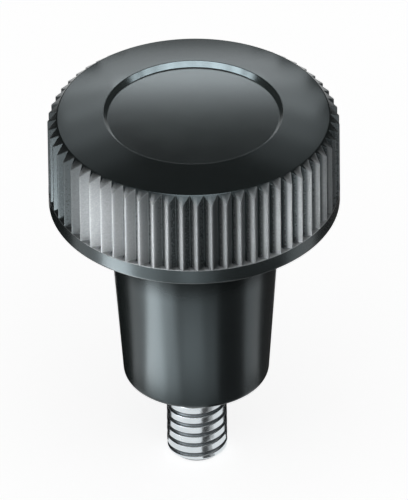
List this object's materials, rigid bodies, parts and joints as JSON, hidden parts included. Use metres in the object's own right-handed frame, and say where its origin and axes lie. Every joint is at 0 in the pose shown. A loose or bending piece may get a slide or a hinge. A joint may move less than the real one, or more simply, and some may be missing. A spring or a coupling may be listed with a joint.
{
  "type": "knurled knob",
  "caption": "Round clamping knob with a knurled, bevelled rim, a shallow recess in its top, a long tapered hub and a threaded stud moulded into the hub's end.",
  "frame": {"origin": "on the knob's axis, in the plane of the hub's seat face, where the stud's thread begins", "axes": "+Z along the knob's axis from the seat face to the top of the head; the stud points along -Z; a tooth crest lies on -Y"},
  "size_m": [0.0306, 0.0304, 0.0433],
  "materials": {
    "black_plastic": "satin",
    "zinc_steel": "satin"
  },
  "bodies": {
    "root": {"knob_body": "black_plastic", "threaded_stud": "zinc_steel"}
  },
  "joints": []
}
